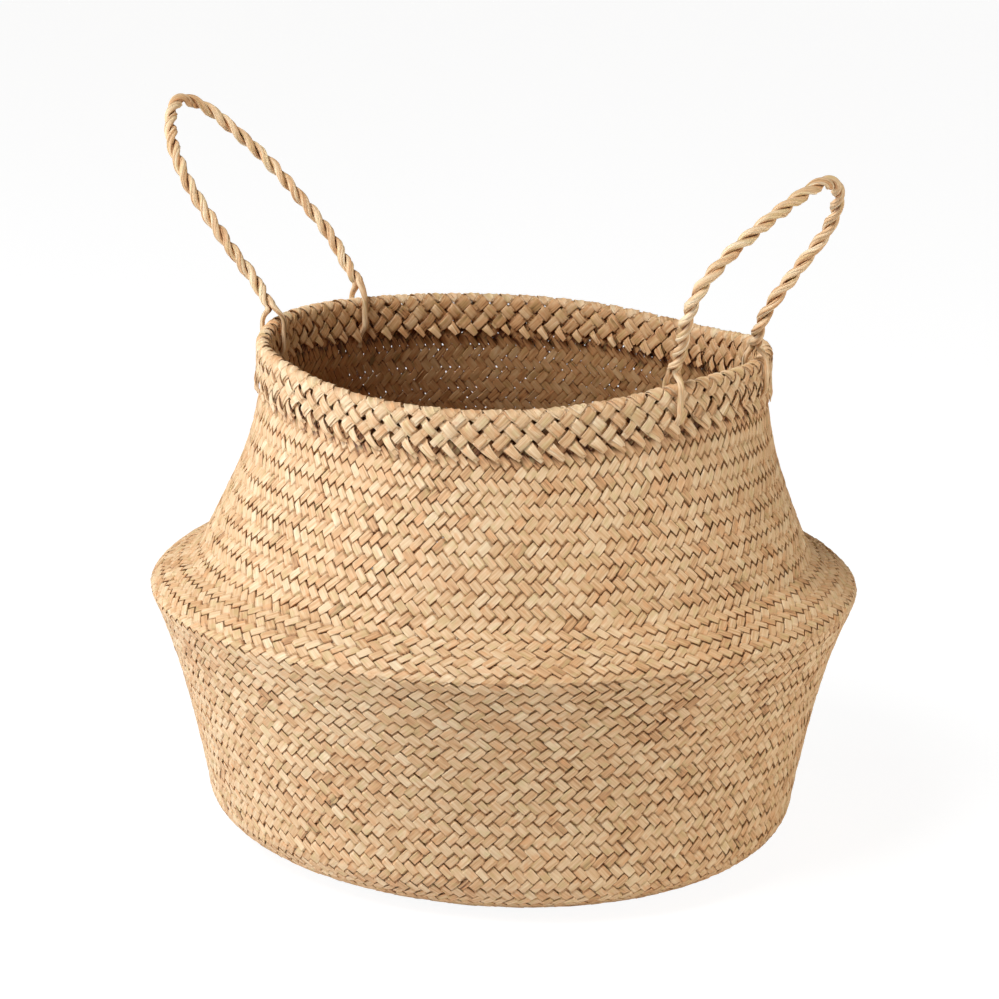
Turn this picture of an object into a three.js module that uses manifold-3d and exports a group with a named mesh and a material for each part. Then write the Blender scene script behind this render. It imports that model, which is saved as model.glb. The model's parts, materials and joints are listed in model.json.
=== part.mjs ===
// Sedge basket: a round bowl plaited from split sedge, with a folded belly and a pinched neck,
// a toothed collar folded over the rim, and two swinging handles of two-ply twisted rope.
// Units are millimetres and +Z is up. The origin is the centre of the base, on the surface
// that the basket stands on. The handles stand at +X (right) and -X (left), and -Y is the front.

import * as THREE from 'three';
import { mergeVertices } from 'three/addons/utils/BufferGeometryUtils.js';
import Module from 'manifold-3d';

const wasm = await Module();
wasm.setup();

// Clearance between pieces that touch on the real basket
const GAP = 0.3;

// Outline of the outside, from the base up. Flares are angles from the vertical, outwards positive.
const WALL = 2.2;
const MAT_THICKNESS = 2.4;
const BASE_FLAT_R = 96;
const HEEL_R = 145.3;
const HEEL_H = 29;
const HEEL_FLARE_DEG = 11;
const BELLY_R = 174;
const BELLY_H = 130;
const BELLY_FLARE_DEG = 25;
const FOLD_LEAN_DEG = -20;
const SHOULDER_R = 149.5;
const SHOULDER_H = 147.5;
const SHOULDER_LEAN_DEG = -52;
const NECK_LEAN_DEG = -24;
const RIM_FLARE_DEG = 5;
const RIM_R = 125.8;
const RIM_H = 246;

// From a step away the plait shows as level bands, one for each repeat of its twill: ridges that
// lie on the outline, with grooves between them
const BAND_HEIGHT = 12;
const BAND_RELIEF = 0.6;

// Collar: the coarse band of paired strips that is folded over the rim
const LEAF = 2.0;
const OUTER_LEAF_DEPTH = 25;
const INNER_LEAF_DEPTH = 27;
const FOLD_R = 2.6;
const TOOTH_COUNT = 80;
const TOOTH_DEPTH = 4.5;

// Two-ply rope of the handles
const PLY_R = 1.65;
const PLY_SPACING = 3.7;
const LAY_LENGTH = 22;

// Handles: where they straddle the rim, and how far they lean out at rest
const HINGE_RISE = 10.5;
const ROOT_DEPTH = 18;
const ROOT_SWELL = 0.42;
const RIGHT_MID_DEG = -3;
const RIGHT_HALF_SPREAD_DEG = 16.5;
const RIGHT_LEAN_DEG = 29;
const LEFT_MID_DEG = 181.2;
const LEFT_HALF_SPREAD_DEG = 18.3;
const LEFT_LEAN_DEG = 42;

// Course of each rope between its feet, in the plane of the handle: [across, along]
const RIGHT_LOOP = [
  [-41, 16], [-50, 33], [-54, 50], [-46, 67], [-29, 82], [-10, 94], [8, 101],
  [24, 97], [36, 84], [40, 68], [33, 48], [26, 31], [26, 16],
];
const LEFT_LOOP = [
  [-41, 14], [-43, 30], [-40, 52], [-34, 77], [-25, 98], [-14, 115], [0, 122.5],
  [14, 116], [27, 101], [35, 81], [37, 60], [37, 38], [35, 16],
];

// Fineness of the facets. The stretches' steps are those of the smooth inside of the wall.
const ROUND_SEGMENTS = 44;
const HEEL_STEPS = 4;
const FLANK_STEPS = 4;
const FOLD_STEPS = 3;
const NECK_STEPS = 5;
const PLY_SIDES = 6;
const PLY_STEPS_PER_TURN = 6;
const ROOT_STEPS = 16;
const KNUCKLE_DETAIL = 1;
const CURVE_SAMPLES = 1200;

// Sizes that follow from the ones above
const WALL_TOP_R = RIM_R - LEAF - GAP;
const WALL_TOP_H = RIM_H - LEAF - GAP;
const MOUTH_R = WALL_TOP_R - WALL - GAP - LEAF;
const ROPE_R = PLY_SPACING / 2 + PLY_R;
const HINGE_R = (RIM_R + MOUTH_R) / 2;
const HINGE_H = RIM_H + HINGE_RISE;
const ROOT_REACH = (RIM_R - MOUTH_R) / 2 + GAP + PLY_R;

const radians = THREE.MathUtils.degToRad;

const sedge = new THREE.MeshStandardMaterial({ color: 0xc9a877, roughness: 0.85, metalness: 0 });
const baseSedge = new THREE.MeshStandardMaterial({ color: 0xbd9b6c, roughness: 0.88, metalness: 0 });
const collarSedge = new THREE.MeshStandardMaterial({ color: 0xcfae7e, roughness: 0.82, metalness: 0 });
const ropeSedge = new THREE.MeshStandardMaterial({ color: 0xd6b583, roughness: 0.8, metalness: 0 });

// Smooth stretch of the outline between two heights, leaving and arriving at the given flares
function stretch(r0, h0, flare0, r1, h1, flare1) {
  const reach = Math.hypot(r1 - r0, h1 - h0) / 3;
  return new THREE.CubicBezierCurve(
    new THREE.Vector2(r0, h0),
    new THREE.Vector2(r0 + reach * Math.sin(radians(flare0)), h0 + reach * Math.cos(radians(flare0))),
    new THREE.Vector2(r1 - reach * Math.sin(radians(flare1)), h1 - reach * Math.cos(radians(flare1))),
    new THREE.Vector2(r1, h1),
  );
}

// The heel is a quarter of an ellipse, tangent to the floor where the flat base ends
const heel = new THREE.EllipseCurve(
  BASE_FLAT_R, HEEL_H, HEEL_R - BASE_FLAT_R, HEEL_H, -Math.PI / 2, 0);
const flank = stretch(
  HEEL_R, HEEL_H, HEEL_FLARE_DEG, BELLY_R, BELLY_H - GAP / 2, BELLY_FLARE_DEG);
const fold = stretch(
  BELLY_R, BELLY_H + GAP / 2, FOLD_LEAN_DEG, SHOULDER_R, SHOULDER_H, SHOULDER_LEAN_DEG);
const neck = stretch(
  SHOULDER_R, SHOULDER_H, NECK_LEAN_DEG, WALL_TOP_R, WALL_TOP_H, RIM_FLARE_DEG);

// Outside radius of the neck at a height, found by halving the curve's parameter
function neckRadius(height) {
  let low = 0;
  let high = 1;
  while (high - low > 1e-6) {
    const middle = (low + high) / 2;
    if (neck.getPoint(middle).y < height) low = middle;
    else high = middle;
  }
  return neck.getPoint(low).x;
}

// Points along joined curves, each with its normal, the shared ends only once
function trace(curves, divisions) {
  const line = [];
  curves.forEach((curve, index) => {
    for (let step = index === 0 ? 0 : 1; step <= divisions[index]; step += 1) {
      const t = step / divisions[index];
      const tangent = curve.getTangent(t);
      line.push({ point: curve.getPoint(t), normal: new THREE.Vector2(tangent.y, -tangent.x) });
    }
  });
  return line;
}

// Turns a closed outline of [radius, height] points about the Z axis
function revolve(outline) {
  const closed = [...outline, outline[0]];
  return new THREE.LatheGeometry(closed, ROUND_SEGMENTS).rotateX(Math.PI / 2);
}

// Steps along a stretch of the outline, two for each band of the plait
function bandSteps(curve) {
  return 2 * Math.max(1, Math.round(curve.getLength() / BAND_HEIGHT));
}

// Presses in every second point after the given one, which leaves a groove between two ridges
function grooved(line, start) {
  return line.map(({ point, normal }, index) => {
    const groove = index > start && (index - start) % 2 === 1;
    return groove ? point.clone().addScaledVector(normal, -BAND_RELIEF) : point;
  });
}

// Wall between its outside points and a traced line that is set in by the wall's thickness. A
// level end face is cut flat, so that the next piece of wall can stand on it.
function shell(outside, line, levelEnds) {
  const inside = line.map(({ point, normal }, index) => {
    const level = levelEnds.includes(index);
    const step = level ? new THREE.Vector2(1, 0) : normal;
    return point.clone().addScaledVector(step, -WALL);
  });
  return revolve([...outside, ...inside.reverse()]);
}

function asSolid(geometry) {
  const bare = geometry.clone();
  bare.deleteAttribute('normal');
  bare.deleteAttribute('uv');
  const merged = mergeVertices(bare, 1e-4);
  return new wasm.Manifold(new wasm.Mesh({
    numProp: 3,
    vertProperties: new Float32Array(merged.attributes.position.array),
    triVerts: new Uint32Array(merged.index.array),
  }));
}

function asGeometry(solid) {
  const mesh = solid.getMesh();
  const geometry = new THREE.BufferGeometry();
  geometry.setAttribute('position', new THREE.BufferAttribute(mesh.vertProperties, 3));
  geometry.setIndex(new THREE.BufferAttribute(mesh.triVerts, 1));
  geometry.computeVertexNormals();
  return geometry;
}

function cut(geometry, cutters) {
  const rest = cutters.reduce((solid, cutter) => solid.subtract(asSolid(cutter)), asSolid(geometry));
  return asGeometry(rest);
}

// Solid of round section carried along a curve, closed at both ends
function cord(curve, radius, steps) {
  const section = new THREE.Shape();
  for (let side = 0; side < PLY_SIDES; side += 1) {
    const angle = (side / PLY_SIDES) * 2 * Math.PI;
    const x = radius * Math.cos(angle);
    const y = radius * Math.sin(angle);
    if (side === 0) section.moveTo(x, y);
    else section.lineTo(x, y);
  }
  section.closePath();
  return new THREE.ExtrudeGeometry(section, { steps, extrudePath: curve, bevelEnabled: false });
}

// Root of a handle leg: one strand that passes through the weave under the collar and comes up
// on both sides of the rim, to where the two plies start to twist. x is radial from the rim's
// middle and y is the height.
class RootCurve extends THREE.Curve {
  constructor() {
    super();
    const top = HINGE_H - ROPE_R - GAP;
    const shoulder = RIM_H - FOLD_R;
    const bottom = RIM_H - ROOT_DEPTH + ROOT_REACH;
    const inset = PLY_SPACING / 2;
    const pull = (top - shoulder) * ROOT_SWELL;
    this.path = new THREE.Path()
      .moveTo(inset, top)
      .bezierCurveTo(inset, top - pull, ROOT_REACH, shoulder + pull, ROOT_REACH, shoulder)
      .lineTo(ROOT_REACH, bottom)
      .absarc(0, bottom, ROOT_REACH, 0, Math.PI, true)
      .lineTo(-ROOT_REACH, shoulder)
      .bezierCurveTo(-ROOT_REACH, shoulder + pull, -inset, top - pull, -inset, top);
  }

  getPoint(t, target = new THREE.Vector3()) {
    const { x, y } = this.path.getPointAt(t);
    return target.set(x, 0, y);
  }
}

// Ply of a handle: a right-handed helix about the rope's centre line, in the plane frame of the
// handle (x out of the plane, y across, z along). The twist makes whole turns between the feet.
class PlyCurve extends THREE.Curve {
  constructor(loop, halfChord, phase) {
    super();
    this.phase = phase;
    this.tail = 2 * ROPE_R;
    this.arcLengthDivisions = CURVE_SAMPLES;
    const line = [
      [-halfChord, -this.tail], [-halfChord, 0], ...loop, [halfChord, 0], [halfChord, -this.tail]];
    this.centre = new THREE.CatmullRomCurve3(
      line.map(([across, along]) => new THREE.Vector3(0, across, along)), false, 'centripetal');
    this.centre.arcLengthDivisions = CURVE_SAMPLES;
    this.length = this.centre.getLength();
    this.turns = Math.round((this.length - 2 * this.tail) / LAY_LENGTH);
  }

  getPoint(t, target = new THREE.Vector3()) {
    const share = (t * this.length - this.tail) / (this.length - 2 * this.tail);
    const angle = this.phase + share * this.turns * 2 * Math.PI;
    const tangent = this.centre.getTangentAt(t);
    const out = new THREE.Vector3(1, 0, 0);
    const side = new THREE.Vector3().crossVectors(tangent, out);
    return target.copy(this.centre.getPointAt(t))
      .addScaledVector(out, (PLY_SPACING / 2) * Math.cos(angle))
      .addScaledVector(side, (PLY_SPACING / 2) * Math.sin(angle));
  }
}

// What is trimmed from a foot: everything below the hinge line and outside a ball about it, so
// that the rope ends in a round knuckle that turns on its root. The block holds the whole tail.
function footTrim(across) {
  const side = 6 * ROPE_R;
  const block = new THREE.BoxGeometry(side, side, side);
  block.translate(0, across, -side / 2);
  const ball = new THREE.IcosahedronGeometry(ROPE_R, KNUCKLE_DETAIL);
  ball.translate(0, across, 0);
  return cut(block, [ball]);
}

function plyGeometry(loop, halfChord, phase) {
  const curve = new PlyCurve(loop, halfChord, phase);
  const ply = cord(curve, PLY_R, Math.round(curve.length / LAY_LENGTH) * PLY_STEPS_PER_TURN);
  return cut(ply, [footTrim(-halfChord), footTrim(halfChord)]);
}

// Collar: a closed ring whose lower edges run in teeth, outside and inside. One column of the
// ring is one section through both leaves and the fold between them. The inner leaf clears the
// flats of the wall's facets.
function collarColumn(drop) {
  const outerEdge = RIM_H - OUTER_LEAF_DEPTH + TOOTH_DEPTH * (1 - drop);
  const innerEdge = RIM_H - INNER_LEAF_DEPTH + TOOTH_DEPTH * drop;
  const slotTop = WALL_TOP_H + GAP;
  const up = (share) => THREE.MathUtils.lerp(innerEdge, slotTop, share);
  const onFlats = (radius) => radius * Math.cos(Math.PI / ROUND_SEGMENTS) - GAP;
  const inside = (height) => onFlats(neckRadius(height) - WALL);
  return [
    [RIM_R, outerEdge],
    [RIM_R, RIM_H - FOLD_R],
    [RIM_R - FOLD_R, RIM_H],
    [MOUTH_R + FOLD_R, RIM_H],
    [MOUTH_R, RIM_H - FOLD_R],
    [MOUTH_R, innerEdge],
    [inside(innerEdge), innerEdge],
    [inside(up(0.25)), up(0.25)],
    [inside(up(0.5)), up(0.5)],
    [onFlats(WALL_TOP_R - WALL), slotTop],
    [WALL_TOP_R + GAP, slotTop],
    [neckRadius(outerEdge) + GAP, outerEdge],
  ];
}

function collarGeometry() {
  const columns = 2 * TOOTH_COUNT;
  const positions = [];
  const index = [];
  for (let column = 0; column < columns; column += 1) {
    const angle = (column / columns) * 2 * Math.PI;
    collarColumn(column % 2).forEach(([radius, height]) => {
      positions.push(radius * Math.cos(angle), radius * Math.sin(angle), height);
    });
  }
  const rows = collarColumn(0).length;
  for (let column = 0; column < columns; column += 1) {
    const next = (column + 1) % columns;
    for (let row = 0; row < rows; row += 1) {
      const above = (row + 1) % rows;
      const near = [column * rows + row, column * rows + above];
      const far = [next * rows + row, next * rows + above];
      index.push(near[0], far[0], far[1], near[0], far[1], near[1]);
    }
  }
  const geometry = new THREE.BufferGeometry();
  geometry.setAttribute('position', new THREE.Float32BufferAttribute(positions, 3));
  geometry.setIndex(index);
  geometry.computeVertexNormals();
  return geometry;
}

// Places a piece that is drawn at the rim's middle on the side of the basket at an angle
function atRim(angleDeg) {
  return new THREE.Matrix4().makeRotationZ(radians(angleDeg))
    .multiply(new THREE.Matrix4().makeTranslation(HINGE_R, 0, 0));
}

const handles = [
  {
    name: 'right',
    mid: RIGHT_MID_DEG,
    halfSpread: RIGHT_HALF_SPREAD_DEG,
    lean: RIGHT_LEAN_DEG,
    loop: RIGHT_LOOP,
    feet: { front: -1, rear: 1 },
  },
  {
    name: 'left',
    mid: LEFT_MID_DEG,
    halfSpread: LEFT_HALF_SPREAD_DEG,
    lean: LEFT_LEAN_DEG,
    loop: LEFT_LOOP,
    feet: { front: 1, rear: -1 },
  },
];

const footAngles = handles.flatMap(({ mid, halfSpread, feet }) => (
  Object.values(feet).map((side) => mid + side * halfSpread)));

// Passages through the weave for the four roots
const passages = footAngles.map((angle) => (
  cord(new RootCurve(), PLY_R + GAP, ROOT_STEPS).applyMatrix4(atRim(angle))));

function namedMesh(name, geometry, material) {
  const mesh = new THREE.Mesh(geometry, material);
  mesh.name = name;
  return mesh;
}

function baseMat() {
  const disc = new THREE.CylinderGeometry(
    BASE_FLAT_R - GAP, BASE_FLAT_R - GAP, MAT_THICKNESS, ROUND_SEGMENTS);
  disc.rotateX(Math.PI / 2).translate(0, 0, MAT_THICKNESS / 2);
  return namedMesh('base_mat', disc, baseSedge);
}

function lowerWall() {
  const outside = grooved(trace([heel, flank], [HEEL_STEPS, bandSteps(flank)]), HEEL_STEPS);
  const line = trace([heel, flank], [HEEL_STEPS, FLANK_STEPS]);
  return namedMesh('lower_wall', shell(outside, line, [line.length - 1]), sedge);
}

function upperWall() {
  const outside = grooved(trace([fold, neck], [bandSteps(fold), bandSteps(neck)]), 0);
  const line = trace([fold, neck], [FOLD_STEPS, NECK_STEPS]);
  const wall = cut(shell(outside, line, [0, line.length - 1]), passages);
  return namedMesh('upper_wall', wall, sedge);
}

function rimCollar() {
  return namedMesh('rim_collar', cut(collarGeometry(), passages), collarSedge);
}

function roots(handle) {
  return Object.entries(handle.feet).map(([place, side]) => {
    const mesh = namedMesh(
      `${handle.name}_${place}_root`, cord(new RootCurve(), PLY_R, ROOT_STEPS), ropeSedge);
    mesh.applyMatrix4(atRim(handle.mid + side * handle.halfSpread));
    return mesh;
  });
}

// A handle turns about the line through its two crotches. The outer group stands on that line
// and the inner one leans out from the vertical by the handle's angle at rest.
function handleGroup(handle) {
  const halfSpread = radians(handle.halfSpread);
  const halfChord = HINGE_R * Math.sin(halfSpread);
  const leaning = new THREE.Group();
  leaning.rotation.y = radians(handle.lean);
  leaning.add(
    namedMesh(`${handle.name}_handle_ply_a`, plyGeometry(handle.loop, halfChord, 0), ropeSedge),
    namedMesh(`${handle.name}_handle_ply_b`, plyGeometry(handle.loop, halfChord, Math.PI), ropeSedge),
  );
  const hinge = new THREE.Group();
  hinge.rotation.z = radians(handle.mid);
  hinge.position.set(HINGE_R * Math.cos(halfSpread), 0, HINGE_H);
  hinge.position.applyAxisAngle(new THREE.Vector3(0, 0, 1), radians(handle.mid));
  hinge.add(leaning);
  return hinge;
}

const basket = new THREE.Group();
basket.add(baseMat(), lowerWall(), upperWall(), rimCollar());
handles.forEach((handle) => basket.add(...roots(handle), handleGroup(handle)));

export default basket;
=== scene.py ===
"""Sedge basket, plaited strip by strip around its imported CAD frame.

The basket is a surface of revolution that is covered by two families of strips. Every strip is
a ribbon whose place is worked out from two numbers: which strip it is, and how many rows it has
crossed since the centre of the base. The file is a lesson in cells: each step is explained
first and then made.
"""

# %% [markdown]
# # The frame
# The CAD model gives the sizes, the bodies and the two hinges. Everything below is drawn in its
# frame: metres, +Z up, the centre of the base at the origin, the front at -Y and the handles at
# +X and -X. Lengths in this lesson are written in millimetres, as a basket maker would give
# them, and turned into metres only when a mesh is made.

# %% Load the frame
import json
import math

import bpy
import numpy as np
from mathutils import Matrix, Vector

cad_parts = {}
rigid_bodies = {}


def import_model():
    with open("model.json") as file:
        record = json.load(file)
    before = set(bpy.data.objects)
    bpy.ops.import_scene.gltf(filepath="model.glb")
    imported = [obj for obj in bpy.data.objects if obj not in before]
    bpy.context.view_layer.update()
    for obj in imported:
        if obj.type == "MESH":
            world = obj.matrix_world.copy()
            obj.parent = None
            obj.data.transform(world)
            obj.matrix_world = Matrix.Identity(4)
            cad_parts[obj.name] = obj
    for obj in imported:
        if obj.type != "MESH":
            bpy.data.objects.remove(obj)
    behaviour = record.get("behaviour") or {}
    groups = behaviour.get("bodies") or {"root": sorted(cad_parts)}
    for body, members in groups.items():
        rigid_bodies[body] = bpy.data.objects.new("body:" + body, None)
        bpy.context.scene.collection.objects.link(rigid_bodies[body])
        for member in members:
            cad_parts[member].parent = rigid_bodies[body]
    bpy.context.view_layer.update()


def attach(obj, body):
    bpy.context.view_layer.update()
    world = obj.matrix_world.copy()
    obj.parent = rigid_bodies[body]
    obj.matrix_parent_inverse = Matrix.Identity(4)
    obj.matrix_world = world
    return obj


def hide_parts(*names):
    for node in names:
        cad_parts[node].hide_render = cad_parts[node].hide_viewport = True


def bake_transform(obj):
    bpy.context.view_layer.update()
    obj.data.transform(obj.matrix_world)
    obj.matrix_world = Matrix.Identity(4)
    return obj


bpy.data.batch_remove(list(bpy.data.objects))
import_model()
MM = 0.001

# %% [markdown]
# # Curves through measured points
# A belly basket is one bag of cloth, pushed in at the neck. Its side view could be drawn
# freehand, but short Bezier stretches between measured points keep the real sizes in the file.
# A line is then cut into even steps, so that a distance walked along the cloth, which is what a
# strip follows, can be looked up in a table.

# %% Stretches, even steps and directions
STRETCH_POINTS = 80
OUTLINE_STEP = 0.5


def stretch(r0, h0, flare0, r1, h1, flare1):
    """Cubic Bezier curve from (r0, h0) to (r1, h1). Its two inner points lie a third of the
    chord away from the ends, along the flares, which are angles from the vertical."""
    reach = math.hypot(r1 - r0, h1 - h0) / 3
    f0, f1 = math.radians(flare0), math.radians(flare1)
    knots = np.array([
        (r0, h0),
        (r0 + reach * math.sin(f0), h0 + reach * math.cos(f0)),
        (r1 - reach * math.sin(f1), h1 - reach * math.cos(f1)),
        (r1, h1),
    ])
    t = np.linspace(0, 1, STRETCH_POINTS)[:, None]
    return ((1 - t) ** 3 * knots[0] + 3 * (1 - t) ** 2 * t * knots[1]
            + 3 * (1 - t) * t ** 2 * knots[2] + t ** 3 * knots[3])


def length_along(line):
    """Length walked along a line up to each of its points."""
    return np.append(0, np.cumsum(np.linalg.norm(np.diff(line, axis=0), axis=1)))


def even_steps(line, step):
    """The same line with its points an even distance apart, and the length walked at each:
    every coordinate is interpolated over the length walked so far."""
    walk = length_along(line)
    at = np.linspace(0, walk[-1], int(walk[-1] / step) + 1)
    return np.stack([np.interp(at, walk, column) for column in line.T], axis=1), at


def outward_from(line, walk):
    """Unit vectors that point out of the cloth at each (radius, height) point: the direction
    along the line, turned by a right angle."""
    along = np.gradient(line, walk, axis=0)
    out = np.stack([along[:, 1], -along[:, 0]], axis=1)
    return out / np.linalg.norm(out, axis=1)[:, None]


def softened(line, sigma):
    """Weighted mean of each point and its neighbours, with Gaussian weights. The line is
    extended by its own mirror image at both ends, so that the ends stay put."""
    reach = int(4 * sigma / OUTLINE_STEP)
    weights = np.exp(-0.5 * (np.arange(-reach, reach + 1) * OUTLINE_STEP / sigma) ** 2)
    padded = np.pad(line, ((reach, reach), (0, 0)), "reflect", reflect_type="odd")
    return np.stack([np.convolve(column, weights / weights.sum(), "valid")
                     for column in padded.T], axis=1)


print(f"a straight stretch of 10 mm measures {length_along(stretch(0, 0, 0, 0, 10, 0))[-1]:.2f} mm")

# %% [markdown]
# # The outline
# From the side the outline runs along the flat base, round the heel, up the flaring flank to
# the fold of the belly, and then sharply in and up the neck. The fold is rounded a little,
# because strips bend and never crease quite sharply.

# %% Outline from the centre of the base to the rim
BASE_FLAT_R = 96.0
HEEL_R, HEEL_H, HEEL_FLARE = 145.3, 29.0, 11.0
BELLY_R, BELLY_H, BELLY_FLARE = 174.0, 130.0, 25.0
FOLD_LEAN, SHOULDER_R, SHOULDER_H, SHOULDER_LEAN = -32.0, 149.5, 147.5, -52.0
NECK_LEAN, NECK_TOP_R, NECK_TOP_H, RIM_FLARE = -24.0, 123.5, 243.7, 5.0
FOLD_SOFTNESS = 1.3
HEEL_POINTS = 60

quarter = np.linspace(0, math.pi / 2, HEEL_POINTS)
heel = np.stack([BASE_FLAT_R + (HEEL_R - BASE_FLAT_R) * np.sin(quarter),
                 HEEL_H * (1 - np.cos(quarter))], axis=1)
flank = stretch(HEEL_R, HEEL_H, HEEL_FLARE, BELLY_R, BELLY_H, BELLY_FLARE)
fold = stretch(BELLY_R, BELLY_H, FOLD_LEAN, SHOULDER_R, SHOULDER_H, SHOULDER_LEAN)
neck = stretch(SHOULDER_R, SHOULDER_H, NECK_LEAN, NECK_TOP_R, NECK_TOP_H, RIM_FLARE)
stretches = np.vstack([[(0, 0)], heel, flank[1:], fold[1:], neck[1:]])
outline = softened(even_steps(stretches, OUTLINE_STEP)[0], FOLD_SOFTNESS)
walked = length_along(outline)
outward = outward_from(outline, walked)
fold_walked = walked[np.argmax(outline[:, 0])]
print(f"outline {walked[-1]:.0f} mm long, fold at {fold_walked:.0f} mm")

# %% [markdown]
# # Handmade unevenness
# No plaited basket is a true solid of revolution. The handles pull the rim up where they stand,
# and between them it sinks; the belly and the base are a little oval, each in its own
# direction. One function bends every piece in the same way, so that the cloth, the collar and
# the feet of the handles stay together. It is a sum of slow waves round the basket, and each
# wave fades in and out over the height.

# %% One bend for all pieces
WAVES_FROM = math.radians(33)
BASE_WAVES = [(-1.2, 0.2), (-0.5, -4.2)]
BELLY_WAVES = [(-0.6, 0.7), (-0.4, 2.2)]
RIM_WAVES = [(1.8, 0.3), (-0.2, -0.2), (0.0, 0.3)]
RIM_SHRINK = 0.7
RIM_LIFT = 1.8
RIM_LIFT_WAVES = [(-0.5, 0.0), (2.3, -3.2), (-0.2, -1.6), (0.0, 0.0),
                  (0.5, 0.3), (0.0, 0.3), (0.25, 0.2)]

# Heights at which each wave begins and ends to grow or to fade
BASE_FADES = (0.0, 75.0)
BELLY_GROWS, BELLY_FADES = (0.0, 110.0), (132.0, 182.0)
RIM_GROWS, RIM_LIFT_GROWS = (150.0, 215.0), (185.0, 235.0)
HANDLES_COME_FREE = (246.5, 262.5)


def rise(value, start, end):
    """Smooth step from 0 at start to 1 at end: 3t^2 - 2t^3, where t is the share of the way."""
    t = np.clip((value - start) / (end - start), 0, 1)
    return t * t * (3 - 2 * t)


def waves(angle, pairs):
    """Sum over the pairs (c, s), numbered k = 1, 2, ..., of c cos(k angle) + s sin(k angle)."""
    return sum(c * np.cos(k * angle) + s * np.sin(k * angle) for k, (c, s) in enumerate(pairs, 1))


def handmade(points):
    """Moves points (..., 3) in millimetres: the radius by the waves of the base, the belly and
    the rim, each weighted by a smooth step in the height, and the height by those of the rim.
    Above the rim the weights fall to nothing, so that the handles keep their place."""
    x, y, z = points[..., 0], points[..., 1], points[..., 2]
    angle = np.arctan2(y, x) - WAVES_FROM
    radius = np.hypot(x, y)
    below_handles = 1 - rise(z, *HANDLES_COME_FREE)
    off_centre = rise(radius, 0, BASE_FLAT_R)
    swell = (waves(angle, BASE_WAVES) * (1 - rise(z, *BASE_FADES)) * off_centre
             + waves(angle, BELLY_WAVES) * rise(z, *BELLY_GROWS) * (1 - rise(z, *BELLY_FADES))
             + (waves(angle, RIM_WAVES) - RIM_SHRINK) * rise(z, *RIM_GROWS) * below_handles)
    lift = (RIM_LIFT + waves(angle, RIM_LIFT_WAVES)) * rise(z, *RIM_LIFT_GROWS) * below_handles
    scale = 1 + swell / np.maximum(radius, 1)
    return np.stack([x * scale, y * scale, z + lift], axis=-1)


def round_the_axis(radius, angle, height):
    """Points (x, y, z) from radius, angle and height, with the handmade bend."""
    return handmade(np.stack([radius * np.cos(angle), radius * np.sin(angle), height], axis=-1))


rim_lift = RIM_LIFT + waves(np.linspace(-math.pi, math.pi, 73), RIM_LIFT_WAVES)
print(f"the rim is lifted by {rim_lift.min():.1f} to {rim_lift.max():.1f} mm")

# %% [markdown]
# # Where a strip runs
# The base is begun flat, with strips crossing at right angles, in four quarters. In a quarter
# a crossing has two whole numbers: strip x of one family and strip y of the other, counted from
# the centre. Their sum is the row and their difference is the place along the row. On the base
# the rows are squares standing on a corner, and on the wall they are level rings, so the map
# from (x, y) to the basket blends one into the other, from the middle of the base to the heel.
# Past row 40 a strip simply runs on into the next quarter, and so winds up the wall.

# %% From strip numbers to a place on the basket
STRIPS_PER_QUARTER = 40
STRIP_PITCH = 4.35
BASE_ROW = 3.45
ROUNDING_ROWS = (12.0, 46.0)
WALK_STEP = 0.25
FLOOR_CLEARANCE = 0.02

# Height of a row along the outline: (distance walked from the centre, row height)
ROW_HEIGHTS = np.array([
    (138, 3.05), (185, 3.02), (225, 2.75), (262, 2.5), (275, 2.55), (300, 2.85), (395, 3.05)])
wall_start = STRIPS_PER_QUARTER * BASE_ROW
steps = np.arange(wall_start, walked[-1], WALK_STEP)
rows_above = np.cumsum(WALK_STEP / np.interp(steps, *ROW_HEIGHTS.T))
row_table = np.append([0, STRIPS_PER_QUARTER], STRIPS_PER_QUARTER + rows_above)
walk_table = np.append([0, wall_start], steps + WALK_STEP)
fold_row = np.interp(fold_walked, walk_table, row_table)
last_row = row_table[-1]


def read_off(table, walk, distance):
    """Radius and height that a table of points gives at distances along it."""
    return np.interp(distance, walk, table[:, 0]), np.interp(distance, walk, table[:, 1])


def on_basket(x, y, quarter_index, turn, lift):
    """Place of strip numbers (x, y) of one quarter, in millimetres. The row is x + y. The angle
    and the distance walked from the centre go from those of a flat grid to those of level
    rings, by a smooth weight in the row. turn is 1 for strips that wind anticlockwise seen
    from above and -1 for the others. lift is the height above the outline, outwards. Nothing
    goes below the floor."""
    row, along = x + y, y - x
    half = np.minimum(row, STRIPS_PER_QUARTER)
    ahead = np.floor((along + half) / (2 * half))
    local = along - 2 * half * ahead
    rounding = rise(row, *ROUNDING_ROWS)
    bearing = (1 - rounding) * np.arctan(local / half) * 4 / np.pi + rounding * local / half
    angle = (quarter_index + 0.5 + turn * (ahead + bearing / 2)) * np.pi / 2
    distance = ((1 - rounding) * STRIP_PITCH * np.sqrt((row ** 2 + local ** 2) / 2)
                + rounding * np.interp(row, row_table, walk_table))
    radius, height = read_off(outline, walked, distance)
    out_r, out_h = read_off(outward, walked, distance)
    place = round_the_axis(radius + lift * out_r, angle, height + lift * out_h)
    place[..., 2] = np.maximum(place[..., 2], FLOOR_CLEARANCE)
    return place


print(f"fold at row {fold_row:.1f}, last row {last_row:.1f}")

# %% [markdown]
# # From arrays to a mesh
# Blender's own plane and curve tools would need thousands of objects here. A mesh can also be
# filled straight from whole arrays: foreach_set copies all points, all faces and all values of
# an attribute at once. Three values go with each point for the finish: how far across the strip
# it is, how far along, and the tint of that strip.

# %% One mesh from points and faces


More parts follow.
